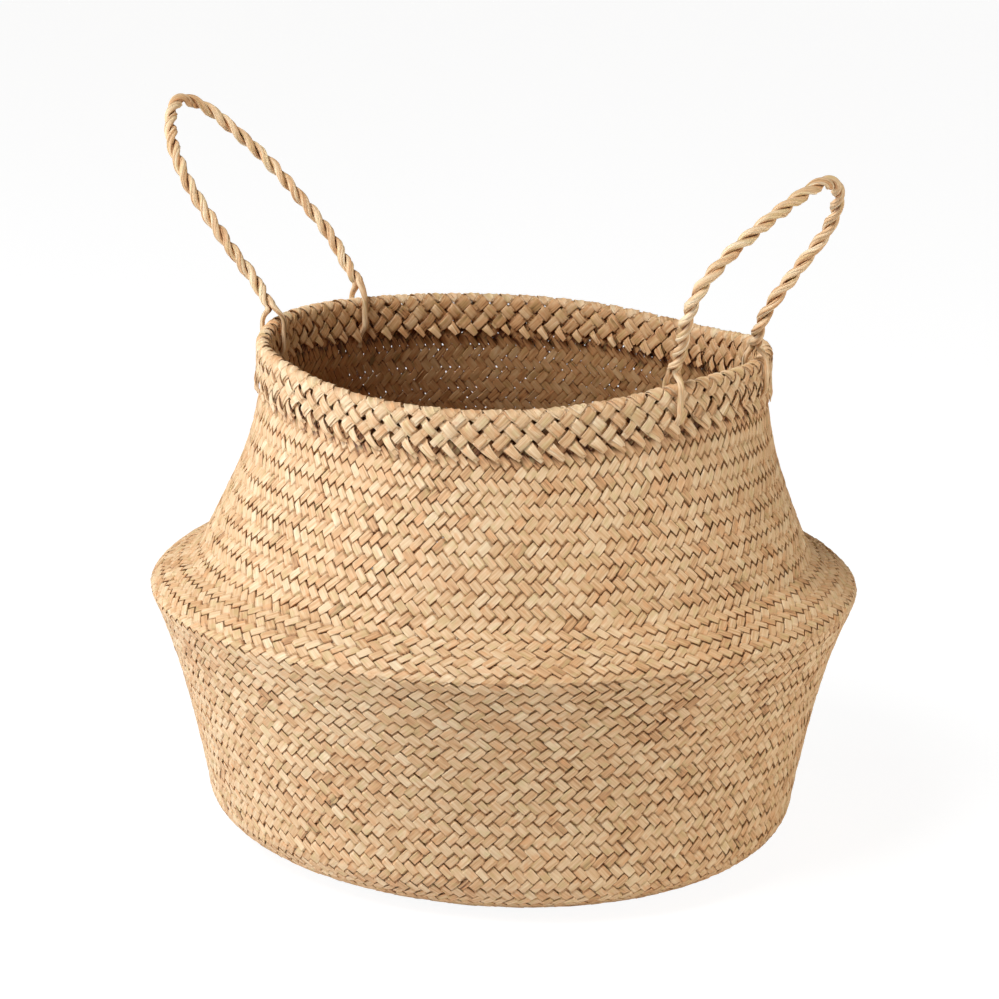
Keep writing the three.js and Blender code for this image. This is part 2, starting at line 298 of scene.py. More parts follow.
def placed(name, data):
    """New object at the origin that shows a mesh, a lamp or a camera."""
    thing = bpy.data.objects.new(name, data)
    bpy.context.scene.collection.objects.link(thing)
    return thing


def mesh_piece(name, points, faces, finish_index, values, round_shading):
    """New object from points (n, 3) in millimetres, four-sided faces (m, 4), the number of the
    finish of each face, and named values per point. Unused points are dropped, and if the
    volume that the faces enclose comes out negative, every face is turned round, so that all of
    them look outwards."""
    used, faces = np.unique(faces, return_inverse=True)
    faces = faces.reshape(-1, 4)
    points = points[used] * MM
    p0, p1, p2, p3 = (points[faces[:, i]] for i in range(4))
    volume = np.sum(p0 * (np.cross(p1, p2) + np.cross(p2, p3))) / 6
    if volume < 0:
        faces = faces[:, ::-1]
    mesh = bpy.data.meshes.new(name)
    mesh.vertices.add(len(points))
    mesh.vertices.foreach_set("co", points.astype(np.float32).ravel())
    mesh.loops.add(faces.size)
    mesh.loops.foreach_set("vertex_index", faces.astype(np.int32).ravel())
    mesh.polygons.add(len(faces))
    mesh.polygons.foreach_set("loop_start", np.arange(0, faces.size, 4, dtype=np.int32))
    mesh.polygons.foreach_set("use_smooth", np.full(len(faces), round_shading))
    mesh.polygons.foreach_set("material_index", finish_index.astype(np.int32))
    mesh.update(calc_edges=True)
    for key, value in values.items():
        layer = mesh.attributes.new(key, "FLOAT", "POINT")
        layer.data.foreach_set("value", value[used].astype(np.float32))
    print(f"{name}: {2 * len(faces)} triangles, {abs(volume) * 1e6:.1f} cubic centimetres")
    return placed(name, mesh)


# %% [markdown]
# # Ribbons
# Every strip is a closed ribbon: a small section of six or eight points carried along the
# strip. All strips of a piece are computed together as one array, strip by row by section
# point, and the faces are index arithmetic on that array. A value that is the same all round
# the section has 1 on the last axis, so that numpy repeats it for every section point.

# %% Many ribbons as one mesh


def section(*upper):
    """Closed section whose lower half is the given upper half, turned by half a turn. The first
    point is the left end."""
    return np.array([*upper, *((-x, -y) for x, y in upper)], float)


def rows_between(first, last, rows, margin=0.0):
    """The rows that lie between the first and the last by a margin, with these two added."""
    inside = (rows > first + margin) & (rows < last - margin)
    return np.sort(np.concatenate([[first], rows[inside], [last]]))


def ribbon_piece(name, grid, first_row, across, along, tint, inner=False, round_shading=False):
    """Mesh of many ribbons from grid (strip, row, section point, 3). A ribbon starts at its
    own first row and ends at the last one. The side faces join neighbours in the grid, the
    section wrapping round, and each end is closed by faces that join section points i, i + 1
    and their partners opposite. inner marks the side faces that take the piece's second finish, a copy
    with painted shade, by row and section point."""
    strips, rows, sides = grid.shape[:3]
    index = np.arange(strips * rows * sides).reshape(strips, rows, sides)
    low, high = index[:, :-1], index[:, 1:]
    walls = np.stack([low, np.roll(low, -1, axis=2), np.roll(high, -1, axis=2), high], axis=-1)
    runs = np.arange(rows - 1)[None, :] >= first_row[:, None]
    walls = walls[runs]
    half = np.arange(sides // 2 - 1)
    lid = np.stack([half, half + 1, sides - 2 - half, sides - 1 - half], axis=-1)
    start = index[np.arange(strips), first_row][:, lid][..., ::-1]
    end = index[:, -1][:, lid]
    faces = np.concatenate([part.reshape(-1, 4) for part in (walls, start, end)])
    finish_index = np.zeros(len(faces), int)
    finish_index[:walls.size // 4] = np.broadcast_to(inner, runs.shape + (sides,))[runs].ravel()
    values = {key: np.broadcast_to(value, grid.shape[:3]).ravel()
              for key, value in (("across", across), ("along", along), ("tint", tint))}
    return mesh_piece(name, grid.reshape(-1, 3), faces, finish_index, values, round_shading)


# %% [markdown]
# # The plait of the walls
# Sedge cloth like this is a twill: each strip goes over two and under two. Here the change
# falls on the same rows all the way round, so the strips that lean one way show as a level
# band, and the next two rows show the others: that is the herringbone of the photographed
# basket. A strip's height above the middle of the cloth is a soft square wave in the row. No
# strip is quite like its neighbour, so the wave gets three kinds of random unevenness: one
# value for a strip, one for each float, as a stretch on top is called, and one that changes
# slowly along the strip.

# %% Over two and under two, unevenly
FLOAT_ROWS = 2
DIVE_ROWS = 0.09


def twill(row, early):
    """Height of a strip above the middle of the cloth, from -1 to 1, for the family that is on
    top in rows 0 and 1 of every four. The distance to the nearest change of side, at rows 1.5
    and 3.5, goes through a hyperbolic tangent, which gives flat floats with steep ends. A strip
    dives a little before the other one comes up, and this leaves the dark slits. early is how
    much before, in rows."""
    centre = np.mod(row - 0.5, 2 * FLOAT_ROWS)
    return np.tanh((np.abs(centre - FLOAT_ROWS) - FLOAT_ROWS / 2 - early) / DIVE_ROWS)


def slow_noise(rng, row, size, period):
    """One smooth random curve per strip with values from -size to size: random heights every so
    many rows, joined by smooth steps."""
    at = row / period
    knots = rng.uniform(-1, 1, (len(row), int(np.max(at)) + 3, 1))
    low = np.floor(at).astype(int)
    mix = rise(at, low, low + 1)
    before, after = (np.take_along_axis(knots, at_knot, 1) for at_knot in (low, low + 1))
    return size * (before * (1 - mix) + after * mix)


def float_noise(rng, row):
    """One random number from -1 to 1 for each float of each strip."""
    number = np.floor((row + 0.5) / FLOAT_ROWS).astype(int)
    return np.take_along_axis(rng.uniform(-1, 1, (len(row), number.max() + 1, 1)), number, 1)


def strip_noise(rng, row):
    """One random number from -1 to 1 for each strip."""
    return rng.uniform(-1, 1, (len(row), 1, 1))


print("heights of a strip every half row:", np.round(twill(np.arange(0, 4, 0.5), 0), 1))

# %% [markdown]
# # Strips of the cloth
# A strip is widest in the middle of a float and is pinched where it dives between two others.
# The strips differ in width, and each float is tilted, raised and tinted a little differently.
# Where a strip dives and where it lies under the collar it is darker: this is painted shade, for the
# shadow in the slits and under the collar. Now and then one float is much darker than the rest, as a
# strip's own tone.

# %% Strips of one zone
STRIP_SECTION = section((-1, 0), (-0.92, 1), (0.92, 1))
ROWS_AT_A_CHANGE = np.array([-0.3, -0.05, 0.05, 0.3])

# Heights in millimetres
CLOTH_MIDDLE = -1.05
STRIP_THICKNESS = 0.66
CROSSING_LIFT = 0.67
FLOAT_LIFT, FLOAT_TILT = 0.1, 0.23
PRESSED_BY_COLLAR = 0.45

# Widths in strip pitches. What changes slowly has a size and a period in rows
STRIP_WIDTH, WIDTH_BY_STRIP, WIDTH_BY_FLOAT = 1.02, 0.12, 0.05
WIDTH_SLOWLY, DRIFT = (0.04, 14.0), (0.07, 9.0)
PINCH, PINCH_ROWS = 0.23, 0.14

# Dives and the edge of the collar, in rows
EARLY_DIVE, EARLY_VARIES = 0.08, 0.8
START_ROWS = 0.5
COVERED_ROWS, COVER_EDGE = 8.7, 2.0

# Tints from 0, dark, to 1, pale
TINT, TINT_BY_STRIP, TINT_SLOWLY, TINT_BY_FLOAT = 0.51, 0.12, (0.1, 11.0), 0.09
DARK_FLOAT, DARK_FLOAT_FROM = 0.28, 0.975
# Painted shade, in the tint, where a strip dives under the crossing strip
DIVE_SHADE, DIVE_SHADE_VARIES, DIVE_SHADE_ROWS = 0.25, 0.23, 0.12
# Painted shade, in the tint, where the cloth lies under the collar
COLLAR_SHADE = 0.34
TINT_SEED = 11
ALONG_PER_ROW, ALONG_SHIFT = 4.2, 97.0


def wall_strips(name, turn, low_row, high_row, seed):
    """Ribbons of one family between two rows. Strip x of a quarter starts on the quarter's
    edge, at row x, and stays at x while y grows, so its row is x + y. Section points shift x
    by up to half a strip, which cuts the ends along the strips that cross it."""
    rng = np.random.default_rng(seed)
    changes = np.arange(-0.5, high_row + FLOAT_ROWS, FLOAT_ROWS)
    rows = rows_between(low_row, high_row, (changes[:, None] + ROWS_AT_A_CHANGE).ravel())[:, None]
    strips = np.arange(4 * STRIPS_PER_QUARTER)[:, None, None]
    quarter_index, strip = np.divmod(strips, STRIPS_PER_QUARTER)
    number = strip + 0.5
    row = np.maximum(rows, number)
    first_row = np.maximum((rows <= number).sum(axis=(1, 2)) - 1, 0)
    settled = np.sin(np.pi / 2 * np.clip((row - number) / START_ROWS, 0, 1))
    to_change = np.abs(np.mod(row + 0.5, FLOAT_ROWS) - FLOAT_ROWS / 2) - FLOAT_ROWS / 2
    covered = last_row - COVERED_ROWS
    under_collar = rise(row, covered, covered + COVER_EDGE)

    slit = float_noise(rng, row)
    side_row = row if turn > 0 else row + FLOAT_ROWS
    height = CROSSING_LIFT * twill(side_row, EARLY_DIVE * (1 + EARLY_VARIES * slit)) * settled
    height += FLOAT_LIFT * float_noise(rng, row) * settled
    tilt = FLOAT_TILT * float_noise(rng, row) * settled
    drift = slow_noise(rng, row, *DRIFT) * settled
    width = (STRIP_WIDTH + slow_noise(rng, row, *WIDTH_SLOWLY)
             + WIDTH_BY_STRIP * strip_noise(rng, row) + WIDTH_BY_FLOAT * float_noise(rng, row))
    width = width * (1 - PINCH * np.exp(-(to_change / PINCH_ROWS) ** 2))

    across, up = STRIP_SECTION.T
    side = across * width / 2
    lift = (CLOTH_MIDDLE + height + up * STRIP_THICKNESS / 2 + tilt * across
            - PRESSED_BY_COLLAR * under_collar)
    grid = on_basket(number + drift + side, row - number + 0 * side, quarter_index, turn, lift)

    started_in = np.mod(quarter_index + (turn < 0), 4)
    strip_tints = np.random.default_rng(TINT_SEED).uniform(0, 1, (4, STRIPS_PER_QUARTER))
    strip_tint = strip_tints[started_in, strip]
    chance = float_noise(rng, row)
    # Painted shade in the slits where the strip dives under another
    dive_shade = (DIVE_SHADE + DIVE_SHADE_VARIES * slit) * np.exp(-(to_change / DIVE_SHADE_ROWS) ** 2)
    # The tint takes painted shade at the dives and under the collar
    tint = (TINT + TINT_BY_STRIP * (2 * strip_tint - 1) + slow_noise(rng, row, *TINT_SLOWLY)
            + TINT_BY_FLOAT * chance - DARK_FLOAT * (chance > DARK_FLOAT_FROM)
            - dive_shade - COLLAR_SHADE * under_collar)
    along = row * ALONG_PER_ROW + ALONG_SHIFT * strip_tint * STRIPS_PER_QUARTER
    return ribbon_piece(name, grid, first_row, across, along, tint,
                        inner=np.arange(len(up)) >= len(up) / 2)


print(f"strips {STRIP_WIDTH * STRIP_PITCH:.1f} mm wide and {STRIP_THICKNESS} mm thick")

# %% [markdown]
# # Zones of the cloth
# The cloth is divided at the rows where the CAD model divides it: the mat under the basket, the
# lower wall up to the fold, and the upper wall. The lower wall is split once more at the heel,
# so that no piece has too many faces. Strips that wind anticlockwise and clockwise are pieces
# of their own.

# %% Mat, heel, flank and neck
MAT_ROW = 28.5
HEEL_ROW = 56.5
NECK_ENDS_BELOW_RIM = 4


def nearest_change(row):
    """The nearest row, 0.5 above an even one, at which the strips change sides."""
    return 2 * round((row - 0.5) / 2) + 0.5


belly_row = nearest_change(fold_row)
top_row = nearest_change(np.interp(walked[-1] - NECK_ENDS_BELOW_RIM, walk_table, row_table))
zones = (
    ("mat", 0.0, MAT_ROW, "base_mat", "base_sedge"),
    ("heel", MAT_ROW, HEEL_ROW, "lower_wall", "wall_sedge"),
    ("flank", HEEL_ROW, belly_row, "lower_wall", "wall_sedge"),
    ("neck", belly_row, top_row, "upper_wall", "wall_sedge"),
)
cloth = {}
for lay, turn in (("rising_left", -1), ("rising_right", 1)):
    for number, (zone, low_row, high_row, node, slot) in enumerate(zones):
        piece = wall_strips(f"{zone}_strips_{lay}", turn, low_row, high_row,
                            seed=20 + 2 * number + (turn > 0))
        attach(piece, "basket")
        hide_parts(node)
        cloth[piece.name] = piece

# %% [markdown]
# # The collar
# At the top the maker takes the strips in pairs, plaits them one over and one under, and folds
# this coarse band over the rim, so that it shows outside and inside. Outside it ends in a row
# of square-cut tails that cast small shadows on the wall. The band is the same kind of surface
# as the wall, carried round a narrow fold instead of a wide outline.

# %% Path of the collar over the rim
RIM_R, RIM_H, LIP_THICKNESS = 125.8, 246.0, 6.8
LEAF = 2.1
OUTER_DEPTH, INNER_DEPTH = 25.0, 27.0
PRESSED_ON_WALL = 0.2
PAIRS = 80
COLLAR_ROW = 4.95
COLLAR_STEP = 0.25
LIP_POINTS = 24

fold_radius = (LIP_THICKNESS - LEAF) / 2
fold_middle = RIM_R - LIP_THICKNESS / 2
fold_h = RIM_H - LEAF / 2 - fold_radius
half_turn = np.linspace(0, math.pi, LIP_POINTS)
lip = np.stack([fold_middle + fold_radius * np.cos(half_turn),
                fold_h + fold_radius * np.sin(half_turn)], axis=1)
outer_leaf = np.array([(RIM_R - LEAF / 2 - PRESSED_ON_WALL, RIM_H - OUTER_DEPTH)])
inner_leaf = np.array([(RIM_R - LIP_THICKNESS + LEAF / 2, RIM_H - INNER_DEPTH)])
collar_line = even_steps(np.vstack([outer_leaf, lip, inner_leaf]), COLLAR_STEP)[0]
collar_walk = length_along(collar_line)
collar_out = outward_from(collar_line, collar_walk)
collar_rows = collar_walk[-1] / COLLAR_ROW
lip_row = (fold_h - collar_line[0, 1] + math.pi / 2 * fold_radius) / COLLAR_ROW
print(f"collar {collar_walk[-1]:.1f} mm long, {collar_rows:.1f} rows")

# %% [markdown]
# # Plait of the collar
# On the collar every pair goes over one pair and under the next, so the square wave of the
# cloth comes twice as often.

# %% Place and height on the collar
CROSSING_ROWS = 0.15


def on_collar(place, row, lift):
    """Place on the collar in millimetres. place counts pairs round the rim and row counts
    crossings along the collar's path, from its lower edge outside over the rim to its lower
    edge inside. lift is the height above the path, away from the wall."""
    distance = row * COLLAR_ROW
    overshoot = distance - np.clip(distance, 0, collar_walk[-1])
    radius, height = read_off(collar_line, collar_walk, distance)
    out_r, out_h = read_off(collar_out, collar_walk, distance)
    return round_the_axis(radius + lift * out_r - overshoot * out_h, place * 2 * np.pi / PAIRS,
                          height + lift * out_h + overshoot * out_r)


def plain_plait(row):
    """Height from -1 to 1 of the family that is on top in even rows: the distance to the
    nearest change, half a row from each crossing, through a hyperbolic tangent."""
    nearest = np.abs(np.mod(row + 1, 2) - 1)
    return np.tanh((0.5 - nearest) / CROSSING_ROWS)


def near_end(distance, reach):
    """1 at an end, falling evenly to 0 at a distance of reach."""
    return np.clip(1 - distance / reach, 0, 1)


print("heights of a pair every quarter row:", np.round(plain_plait(np.arange(0, 2, 0.25)), 1))

# %% [markdown]
# # Strips of the collar
# A pair crosses half a pair of the others in each row, so its place round the rim changes by
# half a pair per row. More sample rows lie over the lip, where the path bends most and the
# strips close up like a cord. Each cut tail has its own length and stands a little off the
# wall.

# %% Both families of the collar
PAIR_SECTION = section((-1, 0), (-0.9, 0.9), (0, 1.2), (0.9, 0.9))
ROWS_AT_A_CROSSING = np.array([-0.5, -0.28, -0.09, 0.09, 0.28])
LIP_CLEAR, LIP_REACH, LIP_STEP, LIP_ROWS = 0.9, 0.84, 0.12, 0.75
SMALLEST_STEP = 0.05
INSIDE_FROM_LIP = 0.4

# Heights in millimetres
PAIR_LIFT, LIP_FLATTER, LIP_ORDER = 0.74, 0.53, 0.5
UPPER_LIFT, LIFT_BY_STRIP, PAIR_TILT = 0.25, 0.1, (0.3, 1.6)
HALF_THICKNESS = 0.25
TAIL_LIFT, TAIL_ROWS = (0.4, 1.5), 1.2

# Lengths and widths in rows
OUTER_TAILS, INNER_TAILS, TAIL_CUT_ROWS = (-0.2, 0.14), (-0.1, 0.2), 0.6
PAIR_SLIP, SLIP_SLOWLY, SLIP_BY_STRIP, TAIL_SLIPS_LESS = 0.06, (0.08, 4.0), 0.08, 0.7
PAIR_WIDTH, PAIR_WIDTH_SLOWLY, PAIR_WIDTH_BY_STRIP = 0.62, (0.08, 3.0), 0.11
WIDER_AT_LIP, WIDER_BY_TURN, TAIL_NARROWS = 0.24, 0.12, 0.32
PAIR_TINT, PAIR_TINT_BY_STRIP, PAIR_TINT_SLOWLY = 0.54, 0.15, (0.13, 1.7)
ALONG_PER_PAIR_ROW, PAIR_SHIFT = 6.8, 211.0


def collar_strips(name, turn, first, last, seed):
    """Paired ribbons of one family. The lower ribbon of a pair lies a little to one side of
    the upper one. Over the lip the family with turn -1 always lies on top, so that the lip
    looks like a cord of slanting strips."""
    rng = np.random.default_rng(seed)
    crossings = np.arange(0.5, collar_rows + 1)
    rows = (crossings[:, None] + ROWS_AT_A_CROSSING).ravel()
    over_lip = lip_row + np.arange(-LIP_REACH, LIP_REACH + LIP_STEP / 2, LIP_STEP)
    rows = np.concatenate([rows[np.abs(rows - lip_row) > LIP_CLEAR], over_lip])
    rows = rows_between(first, last, rows, SMALLEST_STEP)
    strips = 2 * PAIRS
    pair = np.repeat(np.arange(PAIRS), 2)[:, None, None]
    upper = np.tile([1.0, -1.0], PAIRS)[:, None, None]
    row = np.broadcast_to(rows[:, None], (strips, len(rows), 1))
    from_first, from_last = row - first, last - row
    at_lip = np.exp(-((row - lip_row) / LIP_ROWS) ** 2)
    on_top = turn * plain_plait(row)
    loose = (near_end(from_first, TAIL_ROWS) + near_end(from_last, TAIL_ROWS)) * (turn < 0)

    tail = rng.uniform(*OUTER_TAILS, (strips, 1, 1)) * near_end(from_first, TAIL_CUT_ROWS)
    tail += rng.uniform(*INNER_TAILS, (strips, 1, 1)) * near_end(from_last, TAIL_CUT_ROWS)
    height = (on_top * (PAIR_LIFT - LIP_FLATTER * at_lip) - LIP_ORDER * turn * at_lip
              + UPPER_LIFT * upper * np.sign(on_top) + LIFT_BY_STRIP * strip_noise(rng, row)
              + loose * rng.uniform(*TAIL_LIFT, (PAIRS, 1, 1)).repeat(2, axis=0))
    slip = (upper * PAIR_SLIP + slow_noise(rng, row, *SLIP_SLOWLY)
            + SLIP_BY_STRIP * strip_noise(rng, row) * (1 - TAIL_SLIPS_LESS * loose))
    width = (PAIR_WIDTH + slow_noise(rng, row, *PAIR_WIDTH_SLOWLY)
             + PAIR_WIDTH_BY_STRIP * strip_noise(rng, row)
             + (WIDER_AT_LIP - WIDER_BY_TURN * turn) * at_lip - TAIL_NARROWS * loose)
    tilt = slow_noise(rng, row, *PAIR_TILT)

    across, up = PAIR_SECTION.T
    side = slip + across * width / 2
    lift = height + up * HALF_THICKNESS + tilt * across
    along_row = row + tail
    grid = on_collar(pair + turn * (along_row - side) / 2, along_row + side, lift)
    strip_tint = rng.uniform(0, 1, (strips, 1, 1))
    tint = (PAIR_TINT + PAIR_TINT_BY_STRIP * (2 * strip_tint - 1)
            + slow_noise(rng, row, *PAIR_TINT_SLOWLY))
    along = row * ALONG_PER_PAIR_ROW + PAIR_SHIFT * strip_tint
    return ribbon_piece(name, grid, np.zeros(strips, int), across, along, tint,
                        inner=row[0, :-1] > lip_row + INSIDE_FROM_LIP)


for lay, turn, first, last in (("rising_left", -1, 0.32, collar_rows - 1.35),
                               ("rising_right", 1, 1.62, collar_rows - 2.1)):
    piece = collar_strips(f"collar_strips_{lay}", turn, first, last, seed=50 + (turn > 0))
    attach(piece, "basket")
    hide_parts("rim_collar")
    cloth[piece.name] = piece

# %% [markdown]
# # The rope handles
# Each handle is a rope of two plies, and each ply is a handful of sedge leaves. At a foot the
# plies part: one runs down outside the collar and the other inside, and both go into the weave
# under it. So a ply is drawn in one piece, from root to root, round one centre line. Its
# distance from that line and its turn about it are functions of the length walked.

# %% Centre line of a handle
HINGE_H = 256.5
FOOT_HEIGHTS = np.array([221.0, 232.0, 244.0, HINGE_H])
LEANS_BETWEEN = (248.0, 264.0)
ROPE_STEP = 0.9
HANDLES = {
    "right": dict(
        mid=-3.0, half=16.5, lean=29.0,
        loop=[(-41, 16), (-50, 33), (-54, 50), (-46, 67), (-29, 82), (-10, 94), (8, 101),
              (24, 97), (36, 84), (40, 68), (33, 48), (26, 31), (26, 16)]),
    "left": dict(
        mid=181.2, half=18.3, lean=42.0,
        loop=[(-41, 14), (-43, 30), (-40, 52), (-34, 77), (-25, 98), (-14, 115), (0, 122.5),
              (14, 116), (27, 101), (35, 81), (37, 60), (37, 38), (35, 16)]),
}


def turned_z(points, angle_deg):
    """Points turned about the Z axis."""
    a = math.radians(angle_deg)
    x, y, z = points.T
    return np.stack([x * math.cos(a) - y * math.sin(a), x * math.sin(a) + y * math.cos(a), z], axis=1)


def spline(knots, steps=40):
    """Centripetal Catmull-Rom curve through the knots: on each stretch the point is a blend of
    blends of the four nearest knots, with knot times that grow by the square root of the
    distance. The last knot closes the curve."""
    knots = np.vstack([2 * knots[0] - knots[1], knots, 2 * knots[-1] - knots[-2]])
    time = np.append(0, np.cumsum(np.sqrt(np.linalg.norm(np.diff(knots, axis=0), axis=1))))
    k = np.arange(1, len(knots) - 2)[:, None]
    t = time[k] + (time[k + 1] - time[k]) * np.linspace(0, 1, steps, endpoint=False)

    def mix(p, q, i, j):
        share = ((t - time[k + i]) / (time[k + j] - time[k + i]))[..., None]
        return p * (1 - share) + q * share

    p0, p1, p2, p3 = (knots[k + i] for i in (-1, 0, 1, 2))
    a1, a2, a3 = mix(p0, p1, -1, 0), mix(p1, p2, 0, 1), mix(p2, p3, 1, 2)
    b1, b2 = mix(a1, a2, -1, 1), mix(a2, a3, 0, 2)
    return np.vstack([mix(b1, b2, 0, 1).reshape(-1, 3), knots[-2]])


def unit(vectors):
    """Each vector divided by its length."""
    return vectors / np.linalg.norm(vectors, axis=-1, keepdims=True)


def rope_line(mid, half, lean, loop):
    """Centre line of one rope from root to root, the length walked, and the direction that
    counts as outside at each point: straight out from the rim at the roots, and square to the
    leaning plane of the handle above them."""
    a, b = math.radians(lean), math.radians(half)
    across, along = np.array(loop, float).T
    plane = np.stack([fold_middle * math.cos(b) + along * math.sin(a), across,
                      HINGE_H + along * math.cos(a)], axis=1)
    one = np.ones(len(FOOT_HEIGHTS))
    feet = [np.stack([fold_middle * math.cos(b) * one, side * fold_middle * math.sin(b) * one,
                      FOOT_HEIGHTS], axis=1) for side in (-1, 1)]
    line, at = even_steps(spline(np.vstack([feet[0], plane, feet[1][::-1]])), ROPE_STEP)
    rim_out = unit(np.stack([line[:, 0], line[:, 1], 0 * at], axis=1))
    plane_out = np.broadcast_to([math.cos(a), 0, -math.sin(a)], line.shape)
    above = rise(line[:, 2], *LEANS_BETWEEN)[:, None]
    out = unit(rim_out * (1 - above) + plane_out * above)
    return turned_z(line, mid), at, turned_z(out, mid)


for side, handle in HANDLES.items():
    print(f"{side} rope {rope_line(**handle)[1][-1]:.0f} mm from root to root")

# %% [markdown]
# # Leaves in a ply
# A rope of sedge isn't smooth. Each ply is a bundle of flat leaves, which turn one way inside
# it while the two plies turn the other way round each other, and that is what keeps a rope from
# coming undone. Drawing the leaves one by one gives the fine ridges along each ply, and they
# stay in place when the rope bends.

# %% Plies of leaves
PLY_OFFSET, ROOT_OFFSET, ENTERING_OFFSET = 1.6, 5.55, 4.4
LAY_LENGTH = 22.0
OPENS_BETWEEN, ENTERS_BETWEEN = (244.5, 256.0), (225.0, 233.0)
LEAVES = 5
LEAF_RING = 0.95
LEAF_HALF_WIDTH, LEAF_HALF_THICKNESS = 1.3, 0.72
LEAF_TWIST_LENGTH = -60.0
FLATTENED, ROOT_FLATTER = 0.86, 0.5
SPREAD, ROOT_SPREADS_LESS = 1.12, 0.45
ROOT_NARROWER = 0.2
SHINGLE_ANGLE = 0.3
SEAM_DEPTHS = (1.0, 2.5)
SWING_VARIES, RING_VARIES = (0.35, 17.0), (0.14, 8.0)
FACING_VARIES, LEAF_WIDTH_VARIES = (0.22, 11.0), (0.15, 13.0)
ROPE_TINT, ROPE_TINT_BY_LEAF, ROPE_TINT_SLOWLY = 0.6, 0.2, (0.12, 23.0)
# Darker at the roots, and painted shade along the seam between the plies
ROOT_DARKER, SEAM_SHADE = 0.1, 0.55
LEAF_SHIFT = 61.0
LEAF_SECTION = section((-1, 0), (-0.8, 0.7), (0, 1), (0.8, 0.7))


def carried(line, out):
    """Two directions square to a line at each of its points: the outside direction with its
    share along the line taken away, and their cross product with the line's direction."""
    forward = unit(np.gradient(line, axis=0))
    first = unit(out - forward * np.sum(out * forward, axis=1, keepdims=True))
    return first, np.cross(forward, first)


def rope_ply(name, handle, phase, seed):
    """One ply as a bundle of leaves. The ply's axis keeps a set distance from the rope's
    centre line, wider at the roots, and turns about it in whole turns between the feet. Each
    leaf keeps a set distance from the ply's axis, turns slowly the other way and overlaps the
    next one like a shingle. A ply is flatter towards the other one, against which it is pressed,
    and flatter still and narrower at the roots, where it lies on the collar. The leaves are a little
    darker at the roots, and painted shade darkens them along the seam between the plies."""
    rng = np.random.default_rng(seed)
    line, at, out = rope_line(**handle)
    first, second = carried(line, out)
    above = line[:, 2] > HINGE_H
    start, stop = at[above][0], at[above][-1]
    turns = round((stop - start) / LAY_LENGTH)
    at = at[:, None]
    angle = phase + 2 * math.pi * turns * np.clip((at - start) / (stop - start), 0, 1)
    opening = 1 - rise(line[:, 2:], *OPENS_BETWEEN)
    entering = 1 - rise(line[:, 2:], *ENTERS_BETWEEN)
    offset = PLY_OFFSET + (ROOT_OFFSET - PLY_OFFSET) * opening - ENTERING_OFFSET * entering
    axis = line + offset * (np.cos(angle) * first + np.sin(angle) * second)
    e1, e2 = carried(axis, axis - line)

    def turned(towards, shrink_1=1, shrink_2=1):
        return np.cos(towards) * e1 * shrink_1 + np.sin(towards) * e2 * shrink_2

    leaf = np.arange(LEAVES)[:, None, None]
    row = np.broadcast_to(at, (LEAVES, *at.shape))
    swing = (2 * math.pi * leaf / LEAVES + 2 * math.pi * row / LEAF_TWIST_LENGTH
             + slow_noise(rng, row, *SWING_VARIES))
    ring = LEAF_RING * (1 + slow_noise(rng, row, *RING_VARIES))
    facing = swing + SHINGLE_ANGLE + slow_noise(rng, row, *FACING_VARIES)
    width = LEAF_HALF_WIDTH * (1 + slow_noise(rng, row, *LEAF_WIDTH_VARIES))
    width = width * (1 - ROOT_NARROWER * opening)
    middle = axis + ring * turned(swing, FLATTENED - ROOT_FLATTER * opening,
                                  SPREAD - ROOT_SPREADS_LESS * opening)
    across, up = LEAF_SECTION.T
    grid = (middle[:, :, None]
            + (across * width)[..., None] * turned(facing + math.pi / 2)[:, :, None]
            + (up * LEAF_HALF_THICKNESS)[:, None] * turned(facing)[:, :, None])
    leaf_tint = rng.uniform(0, 1, (LEAVES, 1, 1))
    # The leaves are a little darker at the roots
    tint = (ROPE_TINT + ROPE_TINT_BY_LEAF * (2 * leaf_tint - 1)
            + slow_noise(rng, row, *ROPE_TINT_SLOWLY) - ROOT_DARKER * opening)
    # Painted shade where the leaves lie near the seam between the plies
    depth = np.linalg.norm(grid - line[:, None], axis=-1)
    seam = (1 - rise(depth, *SEAM_DEPTHS)) * (1 - opening)
    return ribbon_piece(name, handmade(grid), np.zeros(LEAVES, int), across,
                        row + LEAF_SHIFT * leaf_tint, tint - SEAM_SHADE * seam, round_shading=True)


ropes = {}
for side, handle in HANDLES.items():
    for ply, phase, seed in (("a", 0.0, 71), ("b", math.pi, 72)):
        piece = rope_ply(f"{side}_handle_rope_{ply}", handle, phase, seed + 10 * (side == "left"))
        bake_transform(piece)
        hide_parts(f"{side}_handle_ply_{ply}", f"{side}_front_root", f"{side}_rear_root")
        ropes[piece.name] = piece

# %% [markdown]
# # The finish of dried sedge
# A dried, split stem is matt and pale, with fine fibres along it, and no two strips have the
# same tone: cream, straw, a greenish beige, orange tan, and here and there grey brown. A
# picture of sedge would repeat itself and would have to be fitted to every strip. Shader nodes
# need no picture: they read the values across, along and tint that each strip carries. Nodes
# that several materials share are put into a group, and a few helpers keep each step to a line.

# %% Helpers for shader nodes


def srgb(r, g, b):
    """Colour given as it looks on a screen, 0 to 255, as the linear values that nodes take."""
    c = np.array([r, g, b]) / 255
    linear = np.where(c <= 0.04045, c / 12.92, ((c + 0.055) / 1.055) ** 2.4)
    return (*linear.tolist(), 1.0)


